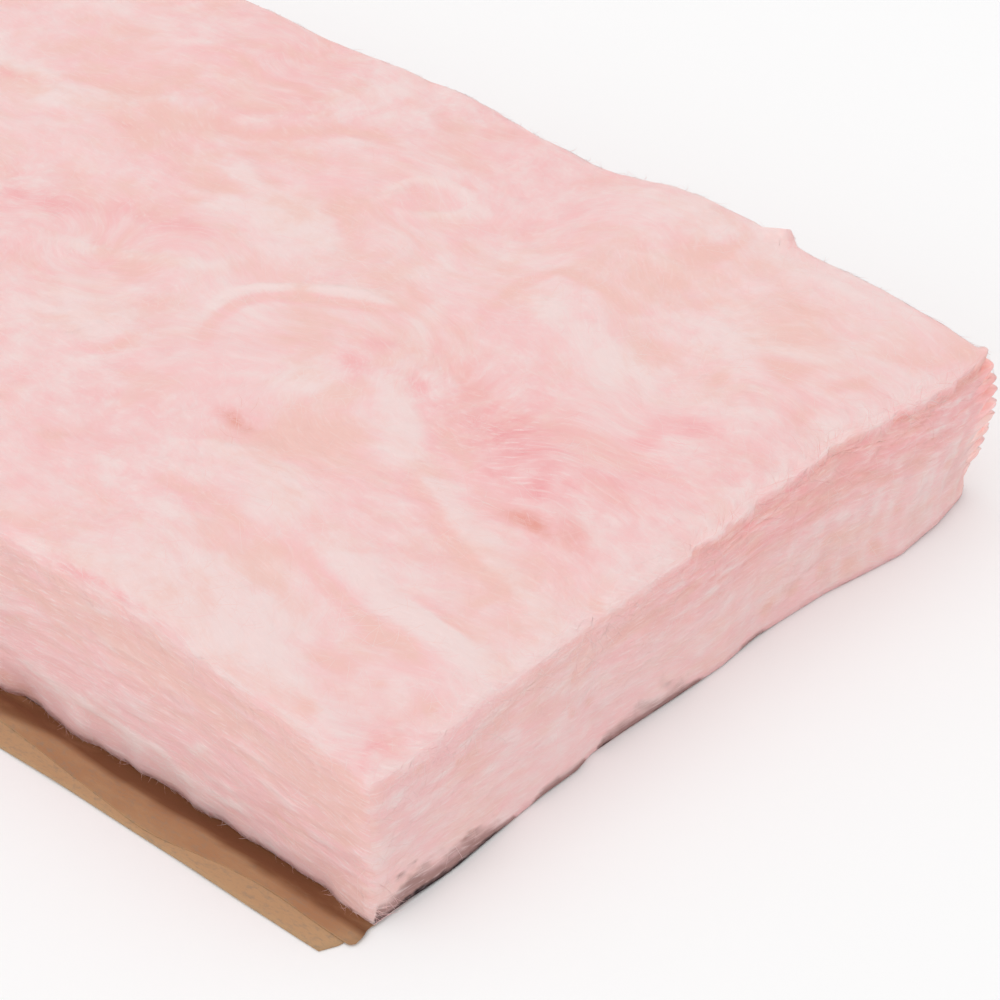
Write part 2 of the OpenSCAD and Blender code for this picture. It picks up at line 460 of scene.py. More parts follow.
def makeKraft(form):
    along = alongMarks(form["lengthCells"])
    behind = halfLength - along
    line = np.stack([along, np.zeros_like(along), np.zeros_like(along)], axis=1)
    handMade = np.interp(behind, *np.array(foldWander).T)
    loose = 0.003 + 0.0035 * cloud(line, 5.0, 2, 2.0)
    wander = np.where(behind < foldWander[-1][0], handMade, loose)
    wander = np.convolve(np.pad(wander, 2, "edge"), np.ones(5) / 5, "valid")
    stations = foldStations(form, wander)
    mesh, column, row = sheetGrid("kraft_facing_sheet", len(along) - 1, len(stations) - 1)
    across = np.stack([s[0] for s in stations])[row, column]
    height = np.stack([s[1] for s in stations])[row, column]
    ply = np.array([s[2] for s in stations])[row]
    x = along[column]
    spots = np.stack([x, across, np.zeros_like(x)], axis=1)
    # the loose plies of the pulled-out tab belly up a little and ripple
    outside = smoothStep(-footHalf - 0.003, -footHalf - 0.012, across)
    belly = form["puff"] * (0.6 + 0.8 * cloud(spots, (14, 0, 0), 2, 4.0)) * outside
    ripple = form["ripple"] * (1 + cloud(spots, (26, 30, 0), 2, 6.0)) * outside
    plies = [ply == "upper", ply == "middle", ply == "lower"]
    lift = np.select(plies, [belly + ripple, 0.7 * belly + ripple, 0.6 * ripple], 0)
    fromFold = across + form["outerFold"] + wander[column]
    nose = np.where(plies[0] | plies[1], smoothStep(0.0, 0.008, fromFold), 1)
    lift *= (0.10 + 0.90 * nose) * (1 - 0.95 * bellCurve(behind[column], 0.04))
    # the outer fold is pressed flat
    ground = form["thickness"] / 2
    height = ground + (height - ground) * (0.62 + 0.38 * nose)
    freeEdge = plies[2] * smoothStep(-0.200, -form["freeEdge"], across)
    edgeWaver = form["waver"] * cloud(spots, (9, 0, 0), 2, 8.0) * freeEdge
    # the plies were not cut quite level
    jut = np.select(plies, form["jut"], 0)
    jut *= bellCurve(behind[column], 0.015) * smoothStep(-0.190, -0.200, across)
    x = x + frontWander(x, across) - form["setback"] * setBack(x, across) + jut
    mesh.vertices.foreach_set("co", np.stack([x, across + edgeWaver, height + lift], axis=1).ravel())
    brown = np.select(plies[:2], [1.0, 0.6], 0.0)
    # a dark band next to the wool: partly asphalt soaked through, partly painted shade from the wool above
    # it
    soakShadeEdge = -0.1985 + 0.0035 * cloud(spots, (22, 0, 0), 3, 10.0)
    soaked = brown * (0.12 + 0.88 * smoothStep(soakShadeEdge - 0.002, soakShadeEdge + 0.002, across))
    keepValues(mesh, soaked=soaked, bare=1 - brown)
    mesh.update()
    piece = finishPiece("kraft_facing_sheet", mesh, kraftStuff, "kraft_facing")
    thicken(piece, form["thickness"])


def makeBond(form):
    along = alongMarks(form["lengthCells"] // 2)
    places, heights = panelPath(form)
    corners = [-footHalf, *places, footHalf]
    across = [corners[0]]
    for start, end, cells in zip(corners, corners[1:], (3, 3, 29, 3, 3)):
        across.extend(np.linspace(start, end, cells + 1)[1:])
    across = np.array(across)
    mesh, column, row = sheetGrid("bond_coat", len(along) - 1, len(across) - 1)
    y = across[row]
    x = along[column]
    z = np.interp(y, places, heights) + form["thickness"]
    x = x + frontWander(x, y) - form["bondSetback"] * setBack(x, y)
    mesh.vertices.foreach_set("co", np.stack([x, y, z], axis=1).ravel())
    mesh.update()
    piece = finishPiece("bond_coat", mesh, bondStuff, "asphalt_film")
    thicken(piece, form["thickness"])
    print("bond coat laid")


makeKraft(kraftForm)
makeBond(kraftForm)

# the wool

woolForm = dict(
    lengthCells=236, acrossCells=88, loftCells=23,
    # the stretches with small cells behind the front and the back cut, and their shares of the cells
    frontReach=0.52, frontShare=0.43, backReach=0.05, backShare=0.04,
    raggedReach=0.016,  # cells are halved once more this close to the front cut, along its ragged edges
    edgeRadius=0.007, rimRadius=0.006, nearLip=0.006, farLip=0.010,
    backLoss=0.016, recovery=0.125,  # loft lost at the back cut, and the run over which it springs back
    sideSwell=0.0025,
    lumps=0.0022, billows=0.0012, streaks=0.0005,
    creaseShare=0.35,  # creases are more colour than depth
    sideLayers=0.0007, endLayers=0.0005,
    lipGap=0.018, lipReach=0.0002, flapLevel=0.55, shoulderGap=0.026, shoulderReach=0.0007,
    scallopPitch=0.0070, scallopDepth=0.0125, footHang=0.0034, footSink=0.00025,
    cornerReach=0.0085,  # how far the top of the far front corner leans out
    # the loose tab on the far top edge
    tabReach=0.0080, tabLength=0.017, tabBehind=0.098, tabAcross=0.184, tabWidth=0.006,
    toothWay=(0.5, 0.8),  # how far the teeth of the far front corner point forwards and outwards
    sideBlush=0.12, sideStrand=0.60,
    looseStrokes=170, looseSwirls=90, seed=7,  # the seeded strokes where none is listed
)

# loft along the two top edges: distance behind the front cut, height
nearEdge = [
    (0.000, 0.0640), (0.036, 0.0720), (0.068, 0.0775), (0.101, 0.0835), (0.135, 0.0845), (0.169, 0.0865),
    (0.206, 0.0845), (0.260, 0.0865), (0.400, 0.0870),
]
farEdge = [
    (0.000, 0.0745), (0.012, 0.0800), (0.026, 0.0825), (0.039, 0.0840), (0.066, 0.0865), (0.100, 0.0895),
    (0.123, 0.0925), (0.152, 0.0930), (0.182, 0.0890), (0.212, 0.0825), (0.256, 0.0875), (0.294, 0.0915),
    (0.340, 0.0910), (0.380, 0.0905), (0.434, 0.0925), (0.560, 0.0880), (0.700, 0.0870),
]

# strokes on the top in mm, as distance behind the front cut and place across
ridges = [  # width, height, path
    (3.5, 1.7, [(254, -25), (258, -13), (255, 1), (244, 14), (231, 26), (219, 33), (202, 40)]),
    (6, 1.5, [(184, 46), (175, 22), (157, -5), (138, -27), (119, -41), (103, -49), (84, -55), (69, -60),
              (51, -65), (37, -68), (20, -69), (7, -73)]),
    (6, 1.3, [(103, -107), (90, -108), (73, -109), (57, -112), (40, -111), (22, -109), (10, -106)]),
    (11, 1.2, [(203, -33), (190, -33), (174, -34)]),
    (6, 1.3, [(185, -92), (172, -88), (161, -83)]),
    (10, 1.1, [(154, -87), (137, -94), (126, -102)]),
    (9, 1.2, [(494, 65), (471, 64), (444, 60), (426, 69), (409, 85), (390, 93)]),
    (4, 1.2, [(360, -28), (348, -26), (328, -20), (306, -10), (287, -1), (276, 4)]),
    (18, 1.2, [(305, -59), (290, -56), (273, -51)]),
    (16, 1.1, [(300, 53), (285, 55), (261, 57)]),
    (5, 1.2, [(343, 139), (341, 147), (333, 157), (320, 167)]),
    (9, 1.0, [(153, 77), (141, 72), (131, 66)]),
    (5, 1.2, [(225, 33), (214, 40), (208, 47)]),
    (4, 1.4, [(134, 133), (119, 134)]),
    (3, 1.2, [(265, 89), (266, 106), (262, 117), (249, 124), (235, 120), (231, 113), (240, 100),
              (251, 93)]),
    (4, 1.0, [(332, 68), (315, 63)]),
    (7, 0.9, [(220, 55), (209, 71)]),
    (9, 1.0, [(185, -180), (147, -178), (92, -176), (44, -176), (13, -176)]),
    (30, 0.7, [(181, -156), (143, -158), (88, -165), (53, -160)]),
    (9, 0.9, [(78, 110), (48, 126), (25, 139)]),
    (14, 1.0, [(180, 174), (130, 171), (93, 168)]),
    (16, 0.8, [(107, 65), (82, 62)]),
    (8, 0.4, [(6, -160), (4, -76), (3, 6), (4, 72), (3, 137)]),
]
creases = [  # width, depth, peach share, path
    (3.5, 1.6, 0.60, [(239, -41), (249, -29), (252, -13), (248, -1), (239, 10), (225, 21), (209, 29),
                      (198, 36)]),
    (4, 1.3, 0.50, [(107, -52), (92, -59), (74, -66), (59, -71), (45, -73), (26, -75)]),
    (3, 1.0, 0.40, [(116, -22), (106, -25), (96, -30), (81, -38), (65, -43)]),
    (4, 1.3, 0.55, [(121, -121), (112, -119), (103, -117), (90, -122), (74, -124), (53, -126), (39, -125),
                    (31, -127)]),
    (3, 1.0, 0.45, [(60, -101), (50, -102), (38, -102), (25, -102)]),
    (3, 0.8, 0.40, [(36, -73), (37, -86), (37, -94)]),
    (4, 1.0, 0.75, [(173, -72), (167, -70), (159, -69), (151, -72)]),
    (4, 0.7, 0.45, [(225, -17), (217, -12), (209, -8), (202, -10)]),
    (4, 0.9, 0.50, [(457, 75), (438, 80), (423, 85), (408, 94)]),
    (4, 1.0, 0.55, [(427, 129), (418, 137), (407, 140), (390, 136), (382, 133)]),
    (5, 1.1, 0.60, [(361, 90), (347, 94), (336, 106), (323, 113), (316, 123), (294, 133)]),
    (5, 0.9, 0.55, [(406, 64), (394, 62), (381, 59)]),
    (4, 0.9, 0.55, [(377, 134), (365, 140), (354, 136), (348, 138)]),
    (4, 1.1, 0.65, [(278, -78), (268, -73), (266, -65), (267, -56)]),
    (4, 1.0, 0.60, [(160, 47), (164, 64), (166, 79), (162, 91), (159, 98), (143, 99), (129, 98),
                    (116, 95)]),
    (5, 0.9, 0.55, [(187, -122), (170, -121), (157, -119), (145, -120), (135, -119)]),
    (5, 0.8, 0.55, [(330, 52), (321, 52), (313, 52)]),
    (9, 0.7, 0.45, [(319, -26), (308, -22), (296, -21)]),
    (5, 0.8, 0.55, [(62, -155), (54, -152), (46, -152)]),
    (4, 0.8, 0.50, [(39, -127), (33, -127)]),
    (3, 1.0, 0.60, [(121, 123), (112, 127)]),
    (4, 1.2, 0.70, [(121, 144), (115, 159), (113, 169)]),
    (4, 0.8, 0.60, [(249, 127), (238, 129)]),
    (5, 0.8, 0.60, [(241, -133), (232, -122), (225, -118)]),
    (6, 1.0, 0.45, [(285, 86), (263, 70), (241, 57)]),
    (4, 0.6, 0.45, [(98, 82), (92, 86)]),
    (3, 0.8, 0.60, [(59, 82), (60, 90)]),
    (6, 0.6, 0.40, [(52, 110), (34, 107)]),
    (6, 0.6, 0.80, [(6, 166), (3, 176), (2, 186)]),
    (4, 0.8, 0.45, [(23, 150), (4, 166)]),
    (4, 0.7, 0.45, [(54, 110), (47, 113), (29, 128)]),
    (3, 0.9, 0.50, [(23, 114), (16, 134)]),
    (4, 0.8, 0.55, [(19, 89), (20, 100)]),
    (3, 0.7, 0.50, [(36, -146), (32, -147)]),
    (5, 0.7, 0.50, [(14, -140), (9, -140)]),
    (4, 1.0, 0.60, [(45, -176), (41, -175)]),
    (3, 1.2, 0.70, [(8, -51), (0, -54)]),
    (9, 0.6, 0.50, [(222, 91), (204, 98)]),
    (60, 0.0, 0.30, [(453, 93), (371, 81), (292, 88)]),
    (30, 0.2, 0.40, [(229, -10), (205, 1), (185, 10)]),
    (30, 0.3, 0.45, [(168, -50), (140, -62), (110, -80)]),
    (34, 0.0, 0.25, [(130, 124), (82, 141), (37, 147)]),
]
flushes = [  # width, depth, deep pink share, path
    (4, 1.0, 0.60, [(152, -4), (145, -6), (144, -11)]),
    (3, 0.8, 0.55, [(162, -6), (159, -6)]),
    (5, 0.9, 0.50, [(189, -4), (178, -11), (172, -17)]),
    (6, 0.7, 0.45, [(189, 13), (178, 6)]),
    (5, 1.2, 0.80, [(104, -4), (101, 2), (93, 4), (87, 4)]),
    (3, 1.2, 0.80, [(100, -10), (96, -9)]),
    (4, 1.2, 0.70, [(90, -3), (83, -6)]),
    (20, 0.5, 0.80, [(121, -2), (100, -5), (79, -10), (63, -10)]),
    (3, 1.2, 0.75, [(84, -29), (79, -26), (72, -24), (66, -22)]),
    (3, 1.0, 0.60, [(71, -10), (64, -21), (61, -28)]),
    (3, 0.9, 0.55, [(64, -9), (56, -9)]),
    (5, 0.8, 0.55, [(355, 13), (343, 14), (326, 13), (318, 19), (301, 19)]),
    (4, 0.8, 0.60, [(403, 62), (398, 63)]),
    (5, 1.4, 0.60, [(54, 30), (56, 44), (47, 53), (37, 58)]),
    (5, 0.8, 0.45, [(45, 14), (44, 19)]),
    (10, 0.5, 0.45, [(17, -172), (5, -160)]),
    (2, 0.8, 0.40, [(8, -184), (13, -174), (17, -164)]),
    (2, 0.8, 0.90, [(178, -184), (163, -185), (153, -183), (139, -183), (131, -183), (118, -184),
                    (102, -184)]),
    (10, 0.3, 0.45, [(408, -9), (382, -8), (351, 1)]),
    (34, 0.0, 0.18, [(304, -90), (246, -96), (199, -94)]),
    (40, 0.0, 0.30, [(60, 20), (20, 0)]),
]
embers = [  # width, depth, ember share, path
    (4, 2.6, 0.85, [(198, -69), (188, -70), (177, -72)]),
    (4, 2.4, 0.85, [(64, -42), (59, -39), (54, -37), (46, -38)]),
    (6, 0.8, 0.40, [(47, -27), (40, -29), (31, -34), (25, -39)]),
]

# gashes in the front cut in mm: width, path of places across and heights
gashes = [
    (2, [(81, 63), (90, 62)]), (2, [(81, 49), (89, 49)]), (3, [(96, 63), (104, 61)]),
    (3, [(132, 45), (144, 42)]), (3, [(156, 32), (163, 31)]), (2, [(133, 61), (142, 58)]),
    (2, [(59, 54), (70, 55), (81, 58)]), (2, [(64, 52), (83, 51), (103, 50)]),
    (3, [(-6, 49), (3, 53)]), (3, [(32, 55), (45, 53)]), (2, [(87, 28), (96, 25)]),
    (3, [(126, 27), (128, 22)]), (3, [(113, 14), (116, 8)]), (3, [(85, 16), (82, 9)]),
    (3, [(101, 12), (97, 6)]), (3, [(69, 14), (63, 8)]), (3, [(52, 13), (47, 7)]),
    (2, [(-64, 31), (-60, 27)]), (2, [(-70, 50), (-71, 47)]), (2, [(-75, 33), (-72, 30)]),
    (3, [(-134, 47), (-127, 45)]), (2, [(-140, 48), (-137, 48)]), (3, [(-162, 58), (-158, 57)]),
    (3, [(-49, 52), (-28, 51), (-3, 51)]),
]

# tufts that stand out of the wool: place, way and width
tufts = [
    dict(at=(1.180, 0.186, 0.074), way=(0.0020, 0.0075, 0.0020), width=0.0026),
]

# notches in the lip of the front cut: place across the batt, step inwards
lipNotches = [
    (-0.100, 0.0000), (-0.060, 0.0005), (-0.030, 0.0000), (0.015, 0.0000), (0.033, 0.0015), (0.044, 0.0025),
    (0.057, 0.0010), (0.076, 0.0015), (0.094, 0.0030), (0.108, 0.0010), (0.124, 0.0000),
]

# marks on the near side in mm: width, pale step, peach share, red share,
# and a path of distances behind the cut and heights
sideMarks = [
    (2, -0.4, 0.6, 0.10, [(153, 65), (143, 71)]), (2, -0.4, 0.6, 0.10, [(139, 66), (132, 68)]),
    (2, -0.4, 0.5, 0.05, [(113, 69), (107, 68)]), (2, -0.4, 0.5, 0.05, [(213, 23), (206, 24)]),
    (2, -0.4, 0.6, 0.05, [(208, 41), (190, 50)]), (2, -0.4, 0.5, 0.05, [(54, 26), (45, 20)]),
    (2, -0.3, 0.5, 0.00, [(40, 25), (34, 24)]), (2, -0.4, 0.7, 0.10, [(19, 32), (10, 35)]),
    (3, -0.4, 0.6, 0.10, [(19, 43), (12, 47), (3, 54)]), (2, -0.4, 0.5, 0.05, [(10, 57), (2, 57)]),
    (3, -0.3, 0.2, 0.00, [(111, 31), (102, 26)]), (2, -0.4, 0.5, 0.05, [(19, 64), (3, 63)]),
    (2, -0.3, 0.5, 0.05, [(35, 59), (11, 54)]), (2, -0.3, 0.4, 0.05, [(40, 68), (13, 65)]),
    (3, -0.5, 0.5, 0.55, [(206, 4), (199, 6), (192, 5)]), (4, -0.5, 0.4, 0.55, [(213, 12), (210, 6)]),
    (2, 0.5, 0.0, 0.00, [(117, 56), (99, 58)]), (2, 0.4, 0.0, 0.00, [(82, 14), (63, 21)]),
    (2, 0.4, 0.0, 0.00, [(70, 54), (51, 59)]), (2, 0.5, 0.0, 0.00, [(34, 66), (17, 66)]),
    (2, 0.5, 0.0, 0.00, [(98, 31), (85, 42)]), (2, 0.5, 0.0, 0.00, [(147, 61), (118, 62)]),
    (2, 0.5, 0.0, 0.00, [(169, 70), (140, 74)]),
    (9, 0.4, 0.0, 0.00, [(190, 20), (150, 22), (100, 12), (60, 8)]),
]

# swirls that turn the combed wisps: place, reach and turn
swirls = [
    dict(at=(0.186, -0.022), reach=0.060, turn=1.0),
    dict(at=(0.076, -0.016), reach=0.042, turn=-0.4),
    dict(at=(0.250, 0.106), reach=0.024, turn=1.0),
]

# smears of bond coat along the foot of the front cut in mm: strength, places across and heights
footSmears = [
    (1.0, [(-187, 0), (-185, 8), (-178, 9), (-166, 12), (-153, 12), (-141, 10), (-131, 8), (-122, 6),
           (-112, 3), (-106, 0)]),
    (0.5, [(-100, 0), (-94, 4), (-80, 6), (-70, 6), (-66, 3), (-62, 0)]),
    (0.62, [(-58, 0), (-52, 7), (-40, 11), (-25, 10), (-10, 8), (0, 4), (10, 0)]),
    (0.6, [(28, 0), (34, 2), (46, 2), (52, 0)]),
]

dice = random.Random(woolForm["seed"])


def handStrokes():
    strokes = [dict(width=width, rise=rise, path=path) for width, rise, path in ridges]
    for kind, group in (("warm", creases), ("blushAndShade", flushes), ("ember", embers)):
        for width, depth, share, path in group:
            strokes.append({"width": width, "rise": -depth, kind: share, "path": path})
    return strokes


def looseStrokes(count):
    # seeded ridges and creases for the rest of the top, mostly combed along the batt
    strokes = []
    for _ in range(count):
        path = [np.array([dice.uniform(340, 2000 * halfLength - 20), dice.uniform(-170, 170)])]
        heading = dice.gauss(0.0, 0.5)
        turn = dice.gauss(0.0, 0.35)
        stride = dice.uniform(8, 18)
        for _ in range(4):
            path.append(path[-1] + stride * np.array([math.cos(heading), math.sin(heading)]))
            heading += turn
        rise = dice.choice((-1, 1)) * dice.uniform(0.4, 1.2)
        stroke = dict(path=path, width=dice.uniform(3, 7), rise=rise)
        if rise < 0:
            stroke[dice.choice(("blushAndShade", "warm", "warm"))] = dice.uniform(0.1, 0.6)
        strokes.append(stroke)
    return strokes


def looseSwirls(count):
    loose = []
    for _ in range(count):
        at = (dice.uniform(0.02, 2 * halfLength), dice.uniform(-0.24, 0.24))
        reach = dice.uniform(0.020, 0.050)
        turn = dice.choice((-1, 1)) * dice.uniform(0.3, 0.9)
        loose.append(dict(at=at, reach=reach, turn=turn))
    return loose


def edgesAlong(bm, axis, keep):
    found = []
    for edge in bm.edges:
        step = edge.verts[1].co - edge.verts[0].co
        if abs(step[axis]) > 0.5 * step.length and keep((edge.verts[0].co + edge.verts[1].co) / 2):
            found.append(edge)
    return found


def halveCells(bm, keep):
    edges = {edge for face in bm.faces if keep(face.calc_center_median()) for edge in face.edges}
    bmesh.ops.subdivide_edges(bm, edges=list(edges), cuts=1, use_grid_fill=True)


def woolBlock(form, footPlaces):
    # a closed block of cells, finer behind the front cut and along its edges, with a few strips underneath
    bm = bmesh.new()
    bmesh.ops.create_cube(bm, size=2.0)
    edges = edgesAlong(bm, 0, lambda middle: True)
    bmesh.ops.subdivide_edges(bm, edges=edges, cuts=form["lengthCells"] - 1, use_grid_fill=True)
    edges = edgesAlong(bm, 1, lambda middle: middle.z > 0 or abs(middle.x) > 0.9999)
    bmesh.ops.subdivide_edges(bm, edges=edges, cuts=form["acrossCells"] - 1, use_grid_fill=True)
    edges = edgesAlong(bm, 2, lambda middle: True)
    bmesh.ops.subdivide_edges(bm, edges=edges, cuts=form["loftCells"] - 1, use_grid_fill=True)
    frontMark = 1 - 2 * form["frontShare"]
    raggedMark = 1 - 2 * form["frontShare"] * form["raggedReach"] / form["frontReach"]
    halveCells(bm, lambda middle: middle.x > frontMark and middle.z > -0.999)
    halveCells(bm, lambda middle: middle.x > raggedMark and (middle.z > 0.45 or abs(middle.y) > 0.88))
    for place in footPlaces:
        bm.normal_update()
        foot = [face for face in bm.faces if face.normal.z < -0.5]
        parts = set(foot)
        for face in foot:
            parts.update(face.edges)
            parts.update(face.verts)
        bmesh.ops.bisect_plane(bm, geom=list(parts), plane_co=(0, place / footHalf, 0), plane_no=(0, 1, 0))
    mesh = bpy.data.meshes.new("wool_body")
    bm.to_mesh(mesh)
    bm.free()
    return mesh


def readVectors(items, field):
    values = np.empty(3 * len(items))
    items.foreach_get(field, values)
    return values.reshape(-1, 3)


def roundBlock(unit, form):
    # the plain batt with soft edges, and for each point how much it belongs to the top, a side or an end
    cellShares = np.array([0.0, form["backShare"], 1.0 - form["frontShare"], 1.0])
    backMark = form["backReach"] - halfLength
    frontMark = halfLength - form["frontReach"]
    marks = np.array([-halfLength, backMark, frontMark, halfLength])
    along = np.interp((unit[:, 0] + 1) / 2, cellShares, marks)
    upShare = ((unit[:, 2] + 1) / 2) ** 0.8
    under = upShare < 1e-6
    nearLoft = softProfile(nearEdge, halfLength - along, 0.012)
    farLoft = softProfile(farEdge, halfLength - along, 0.012)
    loft = nearLoft + (farLoft - nearLoft) * (unit[:, 1] + 1) / 2
    loft -= form["backLoss"] * np.clip(1 - (halfLength + along) / form["recovery"], 0, 1) ** 1.8
    footPlaces, footHeights = panelPath(kraftForm)
    foot = np.interp(unit[:, 1] * footHalf, footPlaces, footHeights) + 1.5 * kraftForm["thickness"]
    half = footHalf + np.sin(math.pi * upShare) * form["sideSwell"]
    flat = np.stack([along, unit[:, 1] * half, foot + upShare * (loft - foot)], axis=1)
    farther = smoothStep(-0.4, 0.3, unit[:, 1]) * (1 - smoothStep(0.75, 0.95, unit[:, 1]))
    lip = form["nearLip"] + (form["farLip"] - form["nearLip"]) * farther
    rim = form["rimRadius"] + (lip - form["rimRadius"]) * smoothStep(0.5, 0.85, upShare)
    edge = np.full_like(rim, form["edgeRadius"])
    radii = np.stack([rim, edge, edge], axis=1)
    inner = np.stack([np.full_like(along, halfLength), half, loft], axis=1) - radii
    sign = np.sign(flat)
    sign[:, 2] = 1.0
    over = np.clip(sign * flat - inner, 0, None) / radii
    reach = np.maximum(np.linalg.norm(over, axis=1), 1.0)[:, None]
    outer = np.where(over > 0, sign * (inner + over / reach * radii), flat)
    nearFoot = under & (unit[:, 1] < 0)
    outer[nearFoot] = flat[nearFoot]
    lean = over / radii
    lean[under] = 0
    footEdge = under & (np.abs(unit[:, 1]) > 0.9999)
    lean[footEdge, 1] = 1.0
    lean /= np.maximum(np.linalg.norm(lean, axis=1), 1e-9)[:, None]
    fine = np.interp(along, [-1.14, -1.10, 0.60, 0.68], [1.0, 0.4, 0.4, 1.0])
    atCut = unit[:, 0] > 0.9999
    return dict(
        outer=outer, end=lean[:, 0], side=lean[:, 1], top=lean[:, 2],
        up=upShare, loft=loft, foot=foot, drop=loft - outer[:, 2],
        behind=halfLength - np.abs(along), fine=fine,
        front=(along > 0), far=(unit[:, 1] > 0), atCut=atCut,
        footEdge=footEdge, inside=under & ~footEdge & ~atCut,
    )


def combTop(block, form):
    # relief and colour shares of the top
    outer = block["outer"]
    fine = block["fine"]
    plan = outer * (1, 1, 0)
    sway = np.stack([cloud(plan, 9.0, 2, 3.0), cloud(plan, 9.0, 2, 17.0), np.zeros(len(plan))], axis=1)
    swept = plan + 0.02 * sway
    lump = cloud(swept, (9, 14, 1), 2, 5.0)
    billow = cloud(swept, (26, 42, 1), 3, 9.0)
    streak = cloud(swept, (80, 130, 1), 2, 13.0)
    relief = form["lumps"] * lump + form["billows"] * billow * fine + form["streaks"] * streak * fine ** 2
    broad = cloud(plan, (11, 16, 1), 2, 75.0)
    shares = dict(
        pale=0.47 + 0.20 * billow + 0.14 * streak + 0.24 * broad,
        warm=0.26 - 0.4 * billow - 0.25 * lump,
        blushAndShade=0.08 - 0.25 * cloud(plan, (8, 10, 1), 2, 71.0),
        ember=np.zeros(len(outer)),
        strand=np.full(len(outer), 0.22),
    )
    spots = 1000 * np.stack([halfLength - outer[:, 0], outer[:, 1]], axis=1)
    for stroke in handStrokes() + looseStrokes(form["looseStrokes"]):
        profile = strokeProfile(spots, curvedPath(stroke["path"]), stroke["width"])
        depthShare = 1.0 if stroke["rise"] > 0 else form["creaseShare"]
        relief += 0.001 * depthShare * stroke["rise"] * profile
        shares["pale"] += 0.60 * stroke["rise"] * profile
        for key in ("warm", "blushAndShade", "ember"):
            shares[key] += stroke.get(key, 0) * profile
        shares["strand"] += 0.35 * stroke.get("blushAndShade", 0) * profile
    return relief, shares


def layerSides(block, form):
    # relief and colour of the long sides: thin layers, a torn shoulder and a foot that hangs over
    outer = block["outer"]
    drop = block["drop"]
    wall = np.stack([outer[:, 0], np.where(block["far"], 4.0, -4.0), outer[:, 2]], axis=1)
    wave = cloud(wall, (7, 1, 22), 2, 21.0)
    layer = cloud(wall + 0.008 * wave[:, None], (34, 1, 200), 3, 25.0)
    tuft = cloud(wall, (45, 1, 70), 2, 27.0)
    torn = [tornEdge(outer[:, 0], form["shoulderGap"], seed, (0.25, 0.75)) for seed in (3, 8)]
    torn = np.where(block["far"], *torn)
    flap = 1 - smoothStep(0.006 * torn - 0.001, 0.006 * torn + 0.0016, drop)
    relief = form["sideLayers"] * (layer + 0.7 * tuft) * block["fine"] + 0.0016 * wave
    relief += form["shoulderReach"] * torn * flap
    relief -= 0.0004 * bellCurve(drop - 0.009 - 0.004 * torn, 0.004) * smoothStep(-0.1, 0.4, tuft)
    # the far front corner is toothed: each layer juts out at its top and falls back below
    step = (drop / form["scallopPitch"] + 0.15 * tuft) % 1.0
    tooth = smoothStep(0.0, 0.12, step) * (1 - step)
    atCorner = bellCurve(block["behind"], 0.009) * bellCurve(halfWidth - outer[:, 1], 0.009)
    onWall = block["front"] & (block["top"] < 0.5)
    teeth = form["scallopDepth"] * (tooth - 0.25) * atCorner * onWall
    teeth *= smoothStep(0.004, 0.010, drop) * smoothStep(0.08, 0.20, block["up"])
    relief *= smoothStep(0.0, 0.10, block["up"])
    hang = form["footHang"] * np.clip(0.5 + cloud(wall * (1, 1, 0.3), (38, 1, 20), 3, 29.0), 0.0, 1.3)
    hang += form["footHang"] * bellCurve(block["behind"], 0.025) * block["front"] * ~block["far"]
    relief += hang * bellCurve(outer[:, 2] - 0.001, 0.014)
    lower = smoothStep(0.35, 0.75, drop / block["loft"])
    pale = 0.22 + 0.48 * layer + 0.32 * tuft + 0.50 * flap - 0.10 * lower
    warm = 0.36 - 0.5 * wave - 0.4 * layer - 0.3 * flap - 0.08 * lower
    # painted shade: a duller, warmer band under the overhanging shoulder, towards the cuts
    shoulderShade = bellCurve(drop - 0.020, 0.014) * smoothStep(0.30, 0.05, block["behind"])
    pale -= 0.14 * shoulderShade
    warm += 0.28 * shoulderShade + 0.15 * bellCurve(block["behind"], 0.05)
    red = np.zeros(len(outer))
    spots = 1000 * np.stack([block["behind"], outer[:, 2]], axis=1)
    onNear = block["front"] & ~block["far"]
    for width, paler, warmer, redder, path in sideMarks:
        profile = strokeProfile(spots, curvedPath(path), width) * onNear
        relief += 0.0012 * paler * profile
        pale += 1.5 * paler * profile
        warm += 1.5 * warmer * profile
        red += redder * profile
    return relief, pale, warm, red, teeth


